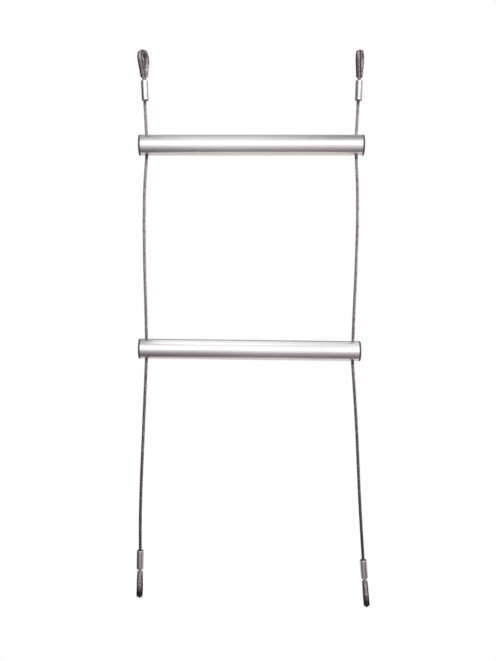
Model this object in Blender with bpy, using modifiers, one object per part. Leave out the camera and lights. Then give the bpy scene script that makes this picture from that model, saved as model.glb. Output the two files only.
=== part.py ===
"""Wire ladder: two tube rungs on two steel wire ropes, with a thimble eye at each of the four ends.

Metres, +Z up. The ladder hangs from its two upper eyes. +X is to the right and +Y away from
someone who stands in front of it. The origin lies midway between the upper thimbles, at the height
where a shackle bears on them, in the plane in which the ropes hang.
"""

import math

import bmesh
import bpy
from mathutils import Matrix, Vector

# Rope
ROPE_DIAMETER = 0.0040
GAP = 0.0003                     # clearance between neighbouring pieces
LEG_GAP = 0.0002                 # clearance round a rope leg at a thimble's tips
ROPE_STEP = 0.0100               # between the rings of a free stretch
ROPE_SIDES = 3                   # bevel resolution of a rope

# Rungs
RUNG_DIAMETER = 0.0250
RUNG_WALL = 0.0015
RUNG_LENGTH = 0.2775             # over both plug heads
HOLE_INSET = 0.00975             # of a rope hole from the rung's end
HOLE_DIAMETER = 0.0050
COUNTERSINK_DIAMETER = 0.0068
PLUG_RIM = 0.0020                # straight rim of a plug head
PLUG_DOME = 0.0007               # rise of a plug head above its rim
PLUG_WALL = 0.0014
PLUG_LEAD = 0.0005               # chamfer of a spigot's end
STOP_DIAMETER = 0.0070
STOP_EDGE = 0.0005               # chamfer of a stop's ends
STOP_ROOM = 0.0006               # between a stop and the spigot beside it

# Eyes
FERRULE_DIAMETER = 0.0086
FERRULE_LENGTH = 0.0244
FERRULE_EDGE = 0.0012            # rounding of a ferrule's ends
LEG_OFFSET = 0.0016              # of each pressed rope leg from the ferrule's axis
THIMBLE_RADIUS = 0.0060          # of the bearing surface at the crown
THIMBLE_WALL = 0.0010
THIMBLE_WIDTH = 0.0070           # over the flat cheeks
THIMBLE_LIP = 0.0007             # thickness of a flange at its edge
FLANGE_HEIGHT = 0.0042           # from the bearing surface to the flange's edge
CHEEK_HEIGHT = 0.0018            # of the flat cheek on a flange
TIP_GAP = 0.0003                 # between the two pointed ends of a thimble
TIP_RISE = 0.0026                # of those ends above the ferrule
TIP_TAPER = 0.0040               # height over which a flange runs out at its tip
EYE_LENGTH = 0.0368              # from the ferrule to the outside of the rope at the crown
LEG_BEND = 0.0120                # radius in which a leg leaves the ferrule

# How the ladder hangs
UPPER_RUNG_DROP = 0.1100         # from the hanging line to the axis of the upper rung
RUNG_PITCH = 0.2526
LOWER_RUNG_SHIFT = -0.0023       # sideways
LOWER_RUNG_TILT = math.radians(0.67)    # right end down
UPPER_EYE_SPREAD = {"left": 0.0017, "right": 0.0017}    # past the rope holes, at the ferrules
TAIL_DROP = {"left": 0.2404, "right": 0.2497}           # length of a lower rope, straight down
TAIL_SPREAD = {"left": 0.0098, "right": 0.0156}         # how far outwards it runs in that length
EYE_LEAN = {                     # outwards from the vertical, away from the ferrule's mouth
    "upper_left": math.radians(1.7),
    "upper_right": math.radians(1.8),
    "lower_left": math.radians(1.2),
    "lower_right": math.radians(4.7),
}
EYE_TURN = {                     # about the vertical, the far leg towards +X
    "upper_left": math.radians(17.5),
    "upper_right": math.radians(19.0),
    "lower_left": math.radians(4.0),
    "lower_right": math.radians(-4.5),
}
# Set of each rope to the right of its chord, at even steps along it.
SPAN_BOW = {
    "left": (-0.0024, -0.0030, -0.0027, -0.0020, -0.0009),
    "right": (0.0021, 0.0029, 0.0026, 0.0019, 0.0008),
}
TAIL_BOW = {
    "left": (-0.0004, -0.0008, -0.0012, -0.0015, -0.0012),
    "right": (0.0005, 0.0006, 0.0002, -0.0003, -0.0003),
}

# Sizes that follow from the ones above
ROPE_RADIUS = ROPE_DIAMETER / 2
RUNG_RADIUS = RUNG_DIAMETER / 2
TUBE_INNER_RADIUS = RUNG_RADIUS - RUNG_WALL
PLUG_HEAD = PLUG_RIM + PLUG_DOME
TUBE_LENGTH = RUNG_LENGTH - 2 * (PLUG_HEAD + GAP)
ROPE_SPACING = RUNG_LENGTH - 2 * HOLE_INSET      # between the two rope holes of a rung
PLUG_SPIGOT = HOLE_INSET - PLUG_HEAD - GAP - STOP_DIAMETER / 2 - STOP_ROOM    # depth inside the tube
PIVOT_OFFSET = ROPE_RADIUS + GAP                 # of a rope end's centre from what it leaves
EXIT_HEIGHT = RUNG_RADIUS + PIVOT_OFFSET         # of a rope end's centre from a rung's axis
GROOVE_RADIUS = ROPE_RADIUS + GAP
GROOVE_HEIGHT = THIMBLE_WALL + GROOVE_RADIUS     # of the rope's centre from the bearing surface
CROWN_RADIUS = THIMBLE_RADIUS + GROOVE_HEIGHT    # of the rope's centreline round the crown
CROWN_HEIGHT = EYE_LENGTH - CROWN_RADIUS - ROPE_RADIUS    # crown centre above the ferrule
MOUTH_DROP = (
    PIVOT_OFFSET + FERRULE_LENGTH + CROWN_HEIGHT + THIMBLE_RADIUS
)                                                # from the bearing surface to a rope's end

SIDES = {"left": -1, "right": 1}
FULL_TURN = math.tau
ROUND_STEPS = 36                 # facets round a rung
SMALL_STEPS = 20                 # facets round a ferrule, stop or hole
CAP_ANGLES = tuple(math.radians(a) for a in (80, 60, 30))    # rings of a rounded rope end
CROWN_RINGS = 8                  # rings of a thimble from a leg to the top of its crown
LEG_RINGS = (0, 1 / 3, 2 / 3)    # rings of a rope leg, as shares of its straight length
BEND_RINGS = 4                   # rings of a rope leg's bend at the ferrule
LOOP_RINGS = 9                   # rings of the rope from a leg to the top of the crown
ROUND_END_STEPS = 8              # facets round one end of a ferrule's slot
EDGE_STEPS = 3                   # facets across a rounded edge, a groove side or a dome
BACK_ANGLE = math.radians(50)    # how far a thimble's rounded back reaches to each side
BACK_STEPS = 2
SHARP_ANGLE = math.radians(35)
CUT_MARGIN = 0.0010              # how far a cutter runs past what it cuts


def clear_scene():
    for old in list(bpy.data.objects):
        bpy.data.objects.remove(old, do_unlink=True)


def make_collection(name):
    group = bpy.data.collections.new(name)
    bpy.context.scene.collection.children.link(group)
    return group


clear_scene()
ladder = make_collection("wire_ladder")
guides = make_collection("cutters_and_guides")


def make_material(name, colour, roughness, metallic):
    material = bpy.data.materials.new(name)
    material.use_nodes = True
    shader = material.node_tree.nodes["Principled BSDF"]
    shader.inputs["Base Color"].default_value = (*colour, 1.0)
    shader.inputs["Roughness"].default_value = roughness
    shader.inputs["Metallic"].default_value = metallic
    material.diffuse_color = (*colour, 1.0)
    return material


ALUMINIUM = ((0.80, 0.79, 0.80), 0.32, 1.0)
PRESSED_ALUMINIUM = ((0.62, 0.60, 0.62), 0.40, 1.0)
GALVANISED = ((0.52, 0.50, 0.50), 0.38, 1.0)
ROPE_STEEL = ((0.46, 0.43, 0.43), 0.42, 1.0)
GREY_PLASTIC = ((0.16, 0.16, 0.17), 0.55, 0.0)


def place(thing, group, pivot=None, matrix=None):
    """Put an object in its collection, under its pivot and at its place there."""
    group.objects.link(thing)
    if pivot is not None:
        thing.parent = pivot
    if matrix is not None:
        thing.matrix_local = matrix
    return thing


def add_part(name, data, finish, pivot, matrix=None):
    thing = bpy.data.objects.new(name, data)
    if not data.materials:
        data.materials.append(make_material(name, *finish))
    return place(thing, ladder, pivot, matrix)


def make_pivot(name, location, matrix=None):
    """An empty on a joint's axis, which carries the pieces that move about it."""
    pivot = bpy.data.objects.new(name, None)
    pivot.empty_display_size = RUNG_RADIUS
    guides.objects.link(pivot)
    pivot.matrix_world = Matrix.Translation(location) @ (matrix or Matrix())
    return pivot


def hide_guide(thing):
    thing.hide_render = True
    thing.display_type = "WIRE"
    return thing


def arc(centre, radius, start, end, count):
    """Points on an arc in a plane, as (across, along) pairs; the angles are from 'across'."""
    angles = [start + (end - start) * i / count for i in range(count + 1)]
    return [(centre[0] + radius * math.cos(a), centre[1] + radius * math.sin(a)) for a in angles]


def turned_mesh(name, profile, steps, closed):
    """A profile of (radius, height) pairs, outer side from top to bottom, turned about Z."""
    mesh = bpy.data.meshes.new(name)
    edges = [(i, i + 1) for i in range(len(profile) - 1)]
    if closed:
        edges.append((len(profile) - 1, 0))
    mesh.from_pydata([(radius, 0.0, height) for radius, height in profile], edges, [])
    blank = bpy.data.objects.new(name, mesh)
    guides.objects.link(blank)
    screw = blank.modifiers.new("turn", "SCREW")
    screw.angle = FULL_TURN
    screw.steps = steps
    screw.render_steps = steps
    screw.use_merge_vertices = True
    screw.merge_threshold = 0.00001
    return bake(blank)


def bake(blank):
    """The evaluated shape of an object as a mesh of its own; the object goes."""
    bpy.context.view_layer.update()
    evaluated = blank.evaluated_get(bpy.context.evaluated_depsgraph_get())
    mesh = bpy.data.meshes.new_from_object(evaluated)
    mesh.name = blank.name
    welded = bmesh.new()
    welded.from_mesh(mesh)
    bmesh.ops.remove_doubles(welded, verts=welded.verts, dist=0.000001)
    bmesh.ops.recalc_face_normals(welded, faces=welded.faces)
    welded.to_mesh(mesh)
    welded.free()
    mesh.transform(blank.matrix_world)
    bpy.data.objects.remove(blank, do_unlink=True)
    return mesh


def flat_curve(name, outline, closed):
    """A two-dimensional curve through the points of an outline."""
    curve = bpy.data.curves.new(name, "CURVE")
    curve.dimensions = "2D"
    spline = curve.splines.new("POLY")
    spline.points.add(len(outline) - 1)
    for point, (across, along) in zip(spline.points, outline):
        point.co = (across, along, 0.0, 1.0)
    spline.use_cyclic_u = closed
    return curve


def prism_mesh(name, outline, half_thickness):
    """A flat outline given a thickness both ways along Z."""
    curve = flat_curve(name, outline, True)
    curve.fill_mode = "BOTH"
    curve.extrude = half_thickness
    blank = bpy.data.objects.new(name, curve)
    guides.objects.link(blank)
    return bake(blank)


def add_cutter(name, mesh, pivot=None, matrix=None):
    return hide_guide(place(bpy.data.objects.new(name, mesh), guides, pivot, matrix))


def cut(thing, cutter):
    hollow = thing.modifiers.new(cutter.name, "BOOLEAN")
    hollow.operation = "DIFFERENCE"
    hollow.solver = "EXACT"
    hollow.object = cutter


def shade(mesh):
    mesh.shade_smooth()
    mesh.set_sharp_from_angle(angle=SHARP_ANGLE)
    return mesh


def rope_curve(name, points, radii):
    """A round rope along a line of points, with a radius at each."""
    curve = bpy.data.curves.new(name, "CURVE")
    curve.dimensions = "3D"
    curve.bevel_depth = ROPE_RADIUS
    curve.bevel_resolution = ROPE_SIDES
    curve.use_fill_caps = True
    spline = curve.splines.new("POLY")
    spline.points.add(len(points) - 1)
    for knot, point, radius in zip(spline.points, points, radii):
        knot.co = (*point, 1.0)
        knot.radius = radius / ROPE_RADIUS
    spline.use_smooth = True
    return curve


def smooth_line(knots, step):
    """Points about a step apart on a smooth curve through the knots."""
    ends = [2 * knots[0] - knots[1], *knots, 2 * knots[-1] - knots[-2]]
    line = [knots[0]]
    for before, start, end, after in zip(ends, ends[1:], ends[2:], ends[3:]):
        count = max(1, round((end - start).length / step))
        for i in range(1, count + 1):
            t = i / count
            straight = 2 * start + (end - before) * t
            square = (2 * before - 5 * start + 4 * end - after) * t ** 2
            cube = (3 * start - before - 3 * end + after) * t ** 3
            line.append((straight + square + cube) / 2)
    return line


def rounded_end(point, outwards):
    """Rings of a hemisphere about a rope's end, from its tip inwards."""
    points = [point + outwards * (ROPE_RADIUS * math.sin(a)) for a in CAP_ANGLES]
    return points, [ROPE_RADIUS * math.cos(a) for a in CAP_ANGLES]


def add_free_rope(name, knots, finish, pivot):
    """A free stretch with rounded ends, so that it can swing in its seats about its end points."""
    line = smooth_line(knots, ROPE_STEP)
    first, first_radii = rounded_end(line[0], (line[0] - line[1]).normalized())
    last, last_radii = rounded_end(line[-1], (line[-1] - line[-2]).normalized())
    points = first + line + last[::-1]
    radii = first_radii + [ROPE_RADIUS] * len(line) + last_radii[::-1]
    start = pivot.matrix_world.inverted()
    return add_part(name, rope_curve(name, [start @ p for p in points], radii), finish, pivot)


def bowed(start, end, bow):
    """Knots from start to end, set sideways by the bow at even steps."""
    count = len(bow) + 1
    inner = [start.lerp(end, (i + 1) / count) + Vector((set_, 0, 0)) for i, set_ in enumerate(bow)]
    return [start, *inner, end]


# Eyes. In an eye's own frame the rope's end point at the ferrule's mouth is the origin, Z runs
# through the ferrule to the crown, Y lies in the plane of the loop and X across it. The live leg
# runs along Z, and the dead leg lies beside it at twice the leg offset.
FERRULE_START = PIVOT_OFFSET
FERRULE_END = FERRULE_START + FERRULE_LENGTH
CROWN_CENTRE = FERRULE_END + CROWN_HEIGHT

# Slope of the straight legs, from the tangent between the bend at the ferrule and the crown.
BEND_ACROSS = LEG_OFFSET + LEG_BEND
CENTRES_APART = math.hypot(BEND_ACROSS, CROWN_HEIGHT)
LEG_SLOPE = math.asin((CROWN_RADIUS + LEG_BEND) / CENTRES_APART) - math.atan2(BEND_ACROSS, CROWN_HEIGHT)


def mirrored(points):
    return [(-across, along) for across, along in reversed(points)]


def eye_route():
    """The rope's centreline round the eye, as (across, along) from the ferrule's axis and mouth."""
    inside = [(LEG_OFFSET, FERRULE_START + FERRULE_LENGTH * share) for share in LEG_RINGS]
    bend = arc((BEND_ACROSS, FERRULE_END), LEG_BEND, math.pi, math.pi - LEG_SLOPE, BEND_RINGS)
    crown = arc((0, CROWN_CENTRE), CROWN_RADIUS, -LEG_SLOPE, math.pi / 2, LOOP_RINGS)
    leg_start, leg_end = Vector(bend[-1]), Vector(crown[0])
    leg = [tuple(leg_start.lerp(leg_end, share)) for share in LEG_RINGS[1:]]
    half = inside + bend + leg + crown
    return half + mirrored(half[:-1])


def add_eye_wire(name, pivot):
    """The loop, pressed narrow where its legs lie close beside each other."""
    route = eye_route()
    points = [Vector((0.0, LEG_OFFSET - across, along)) for across, along in route]
    radii = [min(ROPE_RADIUS, abs(across) - GAP / 2) for across, along in route]
    crown = [along > CROWN_CENTRE for across, along in route]
    radii = [ROPE_RADIUS if top else radius for top, radius in zip(crown, radii)]
    return add_part(name, rope_curve(name, points, radii), ROPE_STEEL, pivot)


def ferrule_mesh():
    """A plain pressed sleeve with rounded ends, on Z from its mouth."""
    radius = FERRULE_DIAMETER / 2
    flat = radius - FERRULE_EDGE
    top = arc((flat, FERRULE_LENGTH - FERRULE_EDGE), FERRULE_EDGE, math.pi / 2, 0, EDGE_STEPS)
    bottom = arc((flat, FERRULE_EDGE), FERRULE_EDGE, 0, -math.pi / 2, EDGE_STEPS)
    profile = [(0.0, FERRULE_LENGTH), *top, *bottom, (0.0, 0.0)]
    return turned_mesh("ferrule", profile, SMALL_STEPS, False)


def slot_mesh():
    """The ferrule's bore round both rope legs, with round ends."""
    radius = LEG_OFFSET + GAP / 2
    far = arc((0, LEG_OFFSET), radius, 0, math.pi, ROUND_END_STEPS)
    near = arc((0, -LEG_OFFSET), radius, math.pi, FULL_TURN, ROUND_END_STEPS)
    return prism_mesh("ferrule_slot", far + near, FERRULE_LENGTH / 2 + CUT_MARGIN)


def add_ferrule(name, pivot):
    body = add_part(name, shade(ferrule_mesh()), PRESSED_ALUMINIUM, pivot)
    body.matrix_local = Matrix.Translation((0, LEG_OFFSET, FERRULE_START))
    middle = Matrix.Translation((0, LEG_OFFSET, FERRULE_START + FERRULE_LENGTH / 2))
    cut(body, add_cutter(f"{name}_slot", slot_mesh(), pivot, middle))


def thimble_section():
    """The channel's section, as (outwards from the bearing surface, across the eye's plane)."""
    half_width = THIMBLE_WIDTH / 2
    outer = arc((0, GROOVE_HEIGHT), GROOVE_HEIGHT, -math.pi / 2, BACK_ANGLE - math.pi / 2, BACK_STEPS)
    inner = arc((0, GROOVE_HEIGHT), GROOVE_RADIUS, 0, -math.pi / 2, EDGE_STEPS)
    cheek = [(half_width, FLANGE_HEIGHT - CHEEK_HEIGHT), (half_width, FLANGE_HEIGHT)]
    half = [*outer, *cheek, (half_width - THIMBLE_LIP, FLANGE_HEIGHT), *inner]
    other = [(-across, height) for across, height in reversed(half[1:-1])]
    return [(height, across) for across, height in half + other]


def thimble_route():
    """The bearing line: up beside the other tip, along a leg, round the crown and down again."""
    crown = arc((0, CROWN_CENTRE), THIMBLE_RADIUS, -LEG_SLOPE, math.pi / 2, CROWN_RINGS)
    beside = TIP_GAP / 2
    meeting = (beside, crown[0][1] - (crown[0][0] - beside) / math.tan(LEG_SLOPE))
    tip = (beside, FERRULE_END + TIP_RISE)
    half = [tip, meeting, *crown]
    return half + mirrored(half[:-1])


def thimble_mesh():
    """The channel swept along its bearing line, in the curve's own plane."""
    section = bpy.data.objects.new("thimble_section", flat_curve("thimble_section", thimble_section(), True))
    section.data.fill_mode = "NONE"
    hide_guide(place(section, guides))
    sweep = flat_curve("thimble", thimble_route(), False)
    sweep.fill_mode = "NONE"
    sweep.bevel_mode = "OBJECT"
    sweep.bevel_object = section
    sweep.use_fill_caps = True
    blank = bpy.data.objects.new("thimble", sweep)
    guides.objects.link(blank)
    mesh = bake(blank)
    bpy.data.objects.remove(section, do_unlink=True)
    return mesh


def tip_cutter_mesh():
    """What lies below the tips: both flanges run out to a point beside the rope."""
    tip = (0.0, FERRULE_END + TIP_RISE)
    reach = CROWN_RADIUS + FLANGE_HEIGHT
    outer = (reach, tip[1] + TIP_TAPER * reach / FLANGE_HEIGHT)
    corner = (reach, tip[1] - FLANGE_HEIGHT)
    return prism_mesh("tip_cutter", [corner, outer, tip, *mirrored([corner, outer])], THIMBLE_WIDTH)


def leg_cutter_mesh(sign):
    """Room for one rope leg between the tips, where the channel's floor runs out."""
    top = CROWN_CENTRE - THIMBLE_RADIUS
    route = [(sign * across, along) for across, along in eye_route() if across > 0 and along < top]
    below = (route[0][0], FERRULE_END - CUT_MARGIN)
    points = [Vector((*point, 0.0)) for point in [below, *route] if point[1] >= below[1]]
    curve = rope_curve("leg_cutter", points, [ROPE_RADIUS + LEG_GAP] * len(points))
    blank = bpy.data.objects.new("leg_cutter", curve)
    guides.objects.link(blank)
    return bake(blank)


# From the plane of a flat outline (across, along) to an eye's frame.
EYE_PLANE = Matrix.Translation((0, LEG_OFFSET, 0)) @ Matrix(
    ((0, 0, 1, 0), (1, 0, 0, 0), (0, 1, 0, 0), (0, 0, 0, 1))
)


def add_thimble(name, pivot):
    channel = add_part(name, shade(thimble_mesh()), GALVANISED, pivot, EYE_PLANE)
    cut(channel, add_cutter(f"{name}_tips", tip_cutter_mesh(), pivot, EYE_PLANE))
    for sign, leg in ((1, "live"), (-1, "dead")):
        cut(channel, add_cutter(f"{name}_{leg}_leg", leg_cutter_mesh(sign), pivot, EYE_PLANE))


def eye_matrix(name, side):
    """How an eye is turned: crown in line with the rope, then its turn, flip and lean."""
    in_line = Matrix.Rotation(math.atan2(LEG_OFFSET, MOUTH_DROP), 4, "X")
    lean = EYE_LEAN[name] * SIDES[side]
    if name.startswith("upper"):
        return Matrix.Rotation(lean, 4, "Y") @ Matrix.Rotation(-EYE_TURN[name], 4, "Z") @ in_line
    return Matrix.Rotation(math.pi - lean, 4, "Y") @ Matrix.Rotation(-EYE_TURN[name], 4, "Z") @ in_line


def add_eye(end, side, mouth):
    name = f"{end}_{side}"
    pivot = make_pivot(f"{name}_eye_pivot", mouth, eye_matrix(name, side))
    bpy.context.view_layer.update()
    add_thimble(f"{name}_thimble", pivot)
    add_ferrule(f"{name}_ferrule", pivot)
    add_eye_wire(f"{name}_eye_wire", pivot)


# Rungs. A rung's pieces hang below its pivot, which is on the line through its upper rope exits.
RUNG_AXIS = Matrix.Translation((0, 0, -EXIT_HEIGHT))
ALONG_RUNG = RUNG_AXIS @ Matrix.Rotation(math.pi / 2, 4, "Y")


def tube_mesh():
    half = TUBE_LENGTH / 2
    inner, outer = TUBE_INNER_RADIUS, RUNG_RADIUS
    profile = [(outer, half), (outer, -half), (inner, -half), (inner, half)]
    return turned_mesh("rung_tube", profile, ROUND_STEPS, True)


def hole_mesh():
    """A rope hole through both walls, opened out at the tube's surface."""
    bore, flare = HOLE_DIAMETER / 2, COUNTERSINK_DIAMETER / 2
    depth = flare - bore
    past = RUNG_RADIUS + CUT_MARGIN
    upper = [(0.0, past), (flare + CUT_MARGIN, past), (bore, RUNG_RADIUS - depth)]
    lower = [(radius, -height) for radius, height in reversed(upper)]
    return turned_mesh("rope_hole", upper + lower, SMALL_STEPS, False)


def plug_mesh():
    """A push-in end plug: domed head flush with the tube, hollow spigot inside it."""
    spigot = TUBE_INNER_RADIUS - GAP
    dome_radius = (RUNG_RADIUS ** 2 + PLUG_DOME ** 2) / (2 * PLUG_DOME)
    dome_angle = math.asin(RUNG_RADIUS / dome_radius)
    dome = arc((0, PLUG_HEAD - dome_radius), dome_radius, math.pi / 2, math.pi / 2 - dome_angle, EDGE_STEPS)
    profile = [
        *dome,
        (RUNG_RADIUS, 0.0),
        (spigot, 0.0),
        (spigot, PLUG_LEAD - PLUG_SPIGOT),
        (spigot - PLUG_LEAD, -PLUG_SPIGOT),
        (spigot - PLUG_WALL, -PLUG_SPIGOT),
        (spigot - PLUG_WALL, PLUG_HEAD - PLUG_WALL),
        (0.0, PLUG_HEAD - PLUG_WALL),
    ]
    return turned_mesh("end_plug", profile, ROUND_STEPS, False)


def stop_mesh():
    """A sleeve pressed on the rope inside the tube, as long as the tube's wall lets it be."""
    radius, bore = STOP_DIAMETER / 2, ROPE_RADIUS + GAP
    half = math.sqrt(TUBE_INNER_RADIUS ** 2 - radius ** 2) - GAP
    upper = [(radius - STOP_EDGE, half), (radius, half - STOP_EDGE)]
    lower = [(across, -height) for across, height in reversed(upper)]
    profile = [(bore, half), *upper, *lower, (bore, -half)]
    return turned_mesh("rope_stop", profile, SMALL_STEPS, True)


def add_rung(end, pivot):
    tube = add_part(f"{end}_rung_tube", shade(tube_mesh()), ALUMINIUM, pivot, ALONG_RUNG)
    for side, sign in SIDES.items():
        name = f"{end}_rung_{side}"
        at_hole = Matrix.Translation((sign * ROPE_SPACING / 2, 0, 0)) @ RUNG_AXIS
        cut(tube, add_cutter(f"{name}_hole", hole_mesh(), pivot, at_hole))
        add_part(f"{name}_stop", shade(stop_mesh()), PRESSED_ALUMINIUM, pivot, at_hole)
        at_end = Matrix.Translation((sign * (TUBE_LENGTH / 2 + GAP), 0, 0)) @ RUNG_AXIS
        outwards = Matrix.Rotation(sign * math.pi / 2, 4, "Y")
        add_part(f"{name}_plug", shade(plug_mesh()), GREY_PLASTIC, pivot, at_end @ outwards)
        through = [Vector((0, 0, height)) for height in (RUNG_RADIUS, -RUNG_RADIUS)]
        rope = rope_curve(f"{name}_wire", through, [ROPE_RADIUS] * 2)
        add_part(f"{name}_wire", rope, ROPE_STEEL, pivot, at_hole)


def build_ladder():
    upper_pivot = make_pivot("upper_rung_pivot", (0, 0, EXIT_HEIGHT - UPPER_RUNG_DROP))
    tilt = Matrix.Rotation(LOWER_RUNG_TILT, 4, "Y")
    lower_centre = Vector((LOWER_RUNG_SHIFT, 0, -UPPER_RUNG_DROP - RUNG_PITCH))
    lower_pivot = make_pivot("lower_rung_pivot", lower_centre + tilt @ Vector((0, 0, EXIT_HEIGHT)), tilt)
    mouth_pivot = make_pivot("upper_wires_pivot", (0, 0, -MOUTH_DROP))
    span_pivot = make_pivot("span_wires_pivot", (0, 0, -EXIT_HEIGHT - UPPER_RUNG_DROP))
    bpy.context.view_layer.update()
    add_rung("upper", upper_pivot)
    add_rung("lower", lower_pivot)
    for side, sign in SIDES.items():
        across = sign * ROPE_SPACING / 2
        mouth = Vector((across + sign * UPPER_EYE_SPREAD[side], 0, -MOUTH_DROP))
        upper_exit = upper_pivot.matrix_world @ Vector((across, 0, 0))
        upper_outlet = upper_pivot.matrix_world @ Vector((across, 0, -2 * EXIT_HEIGHT))
        lower_exit = lower_pivot.matrix_world @ Vector((across, 0, 0))
        lower_outlet = lower_pivot.matrix_world @ Vector((across, 0, -2 * EXIT_HEIGHT))
        end = lower_outlet + Vector((sign * TAIL_SPREAD[side], 0, -TAIL_DROP[side]))
        tail_pivot = make_pivot(f"lower_{side}_wire_pivot", lower_outlet, tilt)
        bpy.context.view_layer.update()
        add_eye("upper", side, mouth)
        add_free_rope(f"upper_{side}_wire", [mouth, upper_exit], ROPE_STEEL, mouth_pivot)
        span = bowed(upper_outlet, lower_exit, SPAN_BOW[side])
        add_free_rope(f"{side}_span_wire", span, ROPE_STEEL, span_pivot)
        tail = bowed(lower_outlet, end, TAIL_BOW[side])
        add_free_rope(f"lower_{side}_wire", tail, ROPE_STEEL, tail_pivot)
        add_eye("lower", side, end)


build_ladder()
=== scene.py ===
import math

import bpy
import numpy as np
from mathutils import Matrix, Vector


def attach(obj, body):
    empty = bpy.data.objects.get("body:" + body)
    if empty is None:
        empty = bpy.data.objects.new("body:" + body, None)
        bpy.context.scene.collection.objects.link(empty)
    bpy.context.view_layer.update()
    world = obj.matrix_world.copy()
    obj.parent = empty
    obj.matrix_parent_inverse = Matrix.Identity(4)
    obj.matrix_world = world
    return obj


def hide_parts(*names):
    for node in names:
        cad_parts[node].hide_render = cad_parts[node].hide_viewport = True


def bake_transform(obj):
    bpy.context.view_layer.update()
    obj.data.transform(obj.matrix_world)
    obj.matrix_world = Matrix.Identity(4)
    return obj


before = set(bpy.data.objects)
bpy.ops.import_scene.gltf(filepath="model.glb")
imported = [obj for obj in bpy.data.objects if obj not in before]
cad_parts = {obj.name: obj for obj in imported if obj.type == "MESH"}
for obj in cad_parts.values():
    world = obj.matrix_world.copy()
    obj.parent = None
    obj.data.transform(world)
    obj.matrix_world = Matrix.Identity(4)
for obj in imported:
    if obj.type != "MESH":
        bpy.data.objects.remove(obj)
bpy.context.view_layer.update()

bpy.ops.object.select_all(action="DESELECT")
scene = bpy.context.scene
print("frame loaded")


def linked(made):
    scene.collection.objects.link(made)
    return made


# The photograph's view, in metres and degrees.
cameraView = {
    "place": (-0.0043, -0.9545, -0.2783),
    "downwards": 3.6,
    "lens": 41.72,
    "sensor": 36.0,
}

camera = linked(bpy.data.objects.new("camera", bpy.data.cameras.new("camera")))
camera.data.lens = cameraView["lens"]
camera.data.sensor_width = cameraView["sensor"]
camera.location = cameraView["place"]
camera.rotation_euler = (math.radians(90 - cameraView["downwards"]), 0, 0)
scene.camera = camera

# How the ladder hangs, in metres and degrees, with a value for each side where they differ.
hanging = {
    "upperRungDrop": 0.110,
    "rungPitch": 0.2526,
    "lowerRungShift": -0.0023,
    "lowerRungTilt": 0.67,
    "eyeSpread": 0.0017,
    "tailDrop": {"left": 0.2404, "right": 0.2497},
    "tailSpread": {"left": 0.0098, "right": 0.0156},
    "eyeLean": {"upperLeft": 1.7, "upperRight": 1.8, "lowerLeft": 1.2, "lowerRight": 4.7},
    "eyeTurn": {"upperLeft": 17.5, "upperRight": 19.0, "lowerLeft": 4.0, "lowerRight": -4.5},
    "spanBow": {
        "left": (-0.0024, -0.0030, -0.0027, -0.0020, -0.0009),
        "right": (0.0021, 0.0029, 0.0026, 0.0019, 0.0008),
    },
    "tailBow": {
        "left": (-0.0004, -0.0008, -0.0012, -0.0015, -0.0012),
        "right": (0.0005, 0.0006, 0.0002, -0.0003, -0.0003),
    },
}
sides = {"left": -1, "right": 1}

# A rung and what closes its ends.
rung = {
    "radius": 0.0125,
    "wall": 0.0015,
    "length": 0.2775,
    "holeInset": 0.00975,
    "holeRadius": 0.0025,
    "flareRadius": 0.0034,
    "plugRim": 0.0020,
    "plugDome": 0.0007,
    "plugWall": 0.0014,
    "spigotDepth": 0.00265,
    "gap": 0.0003,
    "sides": 128,
}
plugHead = rung["plugRim"] + rung["plugDome"]
tubeLength = rung["length"] - 2 * (plugHead + rung["gap"])
holeSpacing = rung["length"] - 2 * rung["holeInset"]

# An eye: rope, ferrule and thimble. Its own frame has the rope's end at the ferrule's mouth as
# origin, Z through the ferrule to the crown, and Y in the plane of the loop.
eye = {
    "ferruleRadius": 0.0043,
    "ferruleLength": 0.0244,
    "ferruleEdge": 0.0012,
    "legOffset": 0.0016,
    "legBend": 0.012,
    "bearingRadius": 0.006,
    "wall": 0.001,
    "halfWidth": 0.0035,
    "lip": 0.0007,
    "flange": 0.0042,
    "cheek": 0.0018,
    "tipGap": 0.0003,
    "tipRise": 0.0014,
    "tipTaper": 0.0040,
    "length": 0.0368,
}

# The wire rope: six strands of six outer wires each, round a core strand.
rope = {
    "radius": 0.002,
    "clearance": 0.0003,
    "strands": 6,
    "wires": 6,
    "pointsPerWire": 5,
    "corePoints": 10,
    "strandLay": 0.025,
    "wireLay": 0.011,
    "pointsPerKnot": 30,
    "step": 0.001,
    "easing": 4,
    "crestReach": (0.55, 0.40),
    "crestBack": (0.55, 0.35),
    "insideFerrule": 0.0105,
    "cutEnd": 0.0004,
    # Painted shade where the rope leaves a ferrule or a rung: its level and reach.
    "paintedShade": 0.65,
    "paintedShadeReach": 0.0032,
    # Painted shade on the rope, darker towards the bottom between two heights, and its level.
    "shaded": (-0.24, -0.60),
    "bottomShade": 0.64,
}

pivotOffset = rope["radius"] + rope["clearance"]
exitHeight = rung["radius"] + pivotOffset
grooveRadius = pivotOffset
grooveHeight = eye["wall"] + grooveRadius
loopRadius = eye["bearingRadius"] + grooveHeight
ferruleEnd = pivotOffset + eye["ferruleLength"]
crownCentre = ferruleEnd + eye["length"] - loopRadius - rope["radius"]
mouthDrop = crownCentre + eye["bearingRadius"]
bendAcross = eye["legOffset"] + eye["legBend"]
crownRise = crownCentre - ferruleEnd
legSlope = math.asin((loopRadius + eye["legBend"]) / math.hypot(bendAcross, crownRise)) - math.atan2(
    bendAcross, crownRise
)


# Places of the rungs and eyes.
def rungPlace(end):
    if end == "upper":
        return Matrix.Translation((0, 0, -hanging["upperRungDrop"]))
    centre = (hanging["lowerRungShift"], 0, -hanging["upperRungDrop"] - hanging["rungPitch"])
    return Matrix.Translation(centre) @ Matrix.Rotation(math.radians(hanging["lowerRungTilt"]), 4, "Y")


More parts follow.
